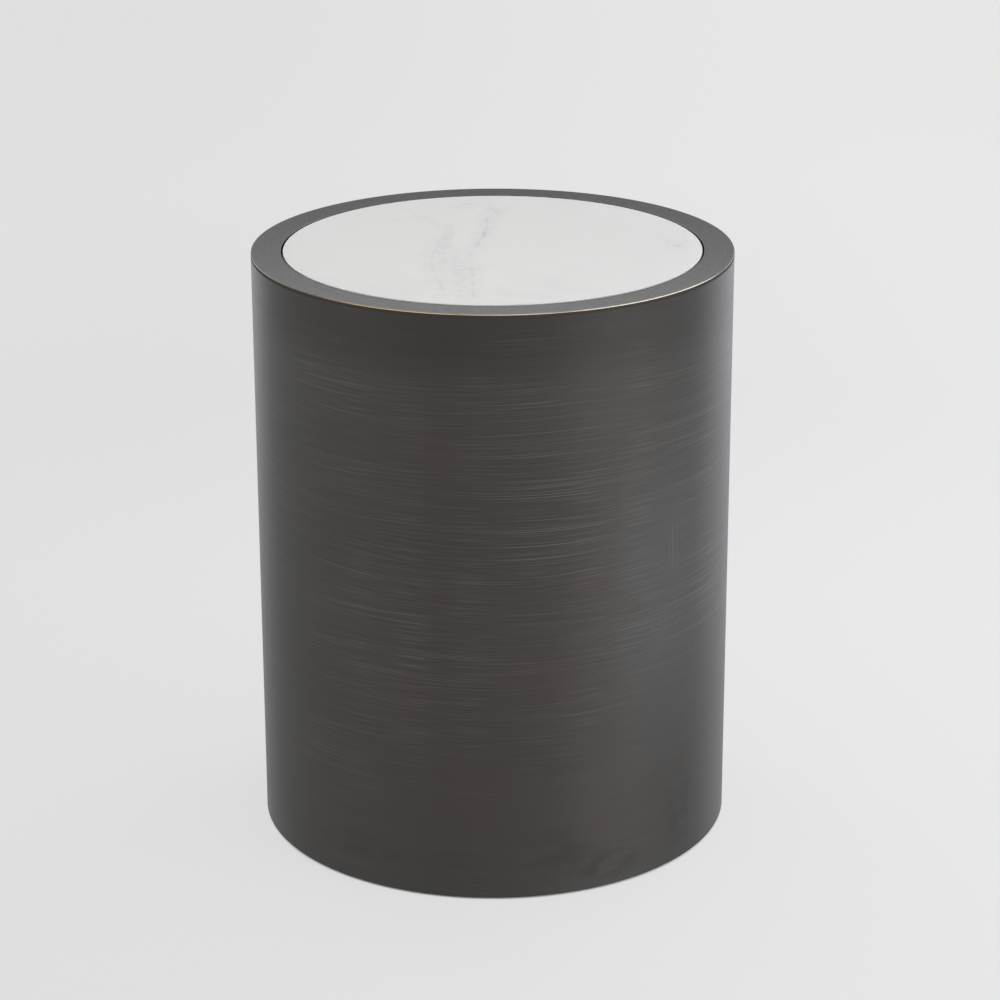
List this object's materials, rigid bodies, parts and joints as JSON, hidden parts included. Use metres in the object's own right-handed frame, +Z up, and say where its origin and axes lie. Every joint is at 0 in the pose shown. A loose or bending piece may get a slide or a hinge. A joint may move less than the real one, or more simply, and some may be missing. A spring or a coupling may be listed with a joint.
{
  "type": "drum side table",
  "caption": "Cylindrical metal side table with a flat rim, a flush round stone top and hidden levelling feet in its base.",
  "frame": {"origin": "on the drum's axis, in the plane of the floor that the four soles stand on", "axes": "+Z up along the drum's axis; the front faces -Y and the sheet's seam is at the back, at +Y"},
  "size_m": [0.4, 0.4, 0.5],
  "materials": {
    "patinated_bronze": "brass-plated sheet, blackened and brushed round the drum by hand, waxed",
    "bare_brass": "mill brass strip, soldered",
    "black_steel": "welded mild steel in black primer",
    "plywood": "birch plywood, sanded",
    "black_board": "fibreboard, painted matt black",
    "veined_stone": "white slab with faint grey veins, satin",
    "silicone": "cured neutral silicone",
    "blackened_screws": "black oxide steel",
    "zinc_steel": "bright zinc-plated steel",
    "black_nylon": "moulded black nylon",
    "rubber": "fine-textured dark rubber"
  },
  "bodies": {
    "table": {"drum_shell": "patinated_bronze", "rim_ring": "patinated_bronze", "rim_collar": "patinated_bronze", "seam_strip": "bare_brass", "middle_hoop": "black_steel", "ledge_ring": "black_steel", "base_ring": "black_steel", "sub_top": "plywood", "ledge_screws": "blackened_screws", "bedding_dots": "silicone", "stone_top": "veined_stone", "base_board": "black_board", "base_screws": "blackened_screws", "front_left_upright": "black_steel", "front_left_foot_nut": "zinc_steel", "front_right_upright": "black_steel", "front_right_foot_nut": "zinc_steel", "back_right_upright": "black_steel", "back_right_foot_nut": "zinc_steel", "back_left_upright": "black_steel", "back_left_foot_nut": "zinc_steel"},
    "front_left_pad": {"front_left_foot_pad": "black_nylon", "front_left_foot_sole": "rubber"},
    "front_left_stem": {"front_left_foot_stem": "zinc_steel"},
    "front_right_pad": {"front_right_foot_pad": "black_nylon", "front_right_foot_sole": "rubber"},
    "front_right_stem": {"front_right_foot_stem": "zinc_steel"},
    "back_right_pad": {"back_right_foot_pad": "black_nylon", "back_right_foot_sole": "rubber"},
    "back_right_stem": {"back_right_foot_stem": "zinc_steel"},
    "back_left_pad": {"back_left_foot_pad": "black_nylon", "back_left_foot_sole": "rubber"},
    "back_left_stem": {"back_left_foot_stem": "zinc_steel"}
  },
  "joints": [
    {"name": "front_left_foot_slide", "type": "slide", "parent": "table", "child": "front_left_pad", "axis": [0, 0, -1], "range_m": [0, 0.008]},
    {"name": "front_left_stem_turn", "type": "hinge", "parent": "front_left_pad", "child": "front_left_stem", "pos_m": [-0.11314, -0.11314, 0.02], "axis": [0, 0, -1], "range_deg": [0, 2304]},
    {"name": "front_right_foot_slide", "type": "slide", "parent": "table", "child": "front_right_pad", "axis": [0, 0, -1], "range_m": [0, 0.008]},
    {"name": "front_right_stem_turn", "type": "hinge", "parent": "front_right_pad", "child": "front_right_stem", "pos_m": [0.11314, -0.11314, 0.02], "axis": [0, 0, -1], "range_deg": [0, 2304]},
    {"name": "back_right_foot_slide", "type": "slide", "parent": "table", "child": "back_right_pad", "axis": [0, 0, -1], "range_m": [0, 0.008]},
    {"name": "back_right_stem_turn", "type": "hinge", "parent": "back_right_pad", "child": "back_right_stem", "pos_m": [0.11314, 0.11314, 0.02], "axis": [0, 0, -1], "range_deg": [0, 2304]},
    {"name": "back_left_foot_slide", "type": "slide", "parent": "table", "child": "back_left_pad", "axis": [0, 0, -1], "range_m": [0, 0.008]},
    {"name": "back_left_stem_turn", "type": "hinge", "parent": "back_left_pad", "child": "back_left_stem", "pos_m": [-0.11314, 0.11314, 0.02], "axis": [0, 0, -1], "range_deg": [0, 2304]}
  ],
  "couplings": [
    {"joint": "front_left_foot_slide", "follows": "front_left_stem_turn", "m_per_rad": 0.00019894},
    {"joint": "front_right_foot_slide", "follows": "front_right_stem_turn", "m_per_rad": 0.00019894},
    {"joint": "back_right_foot_slide", "follows": "back_right_stem_turn", "m_per_rad": 0.00019894},
    {"joint": "back_left_foot_slide", "follows": "back_left_stem_turn", "m_per_rad": 0.00019894}
  ]
}
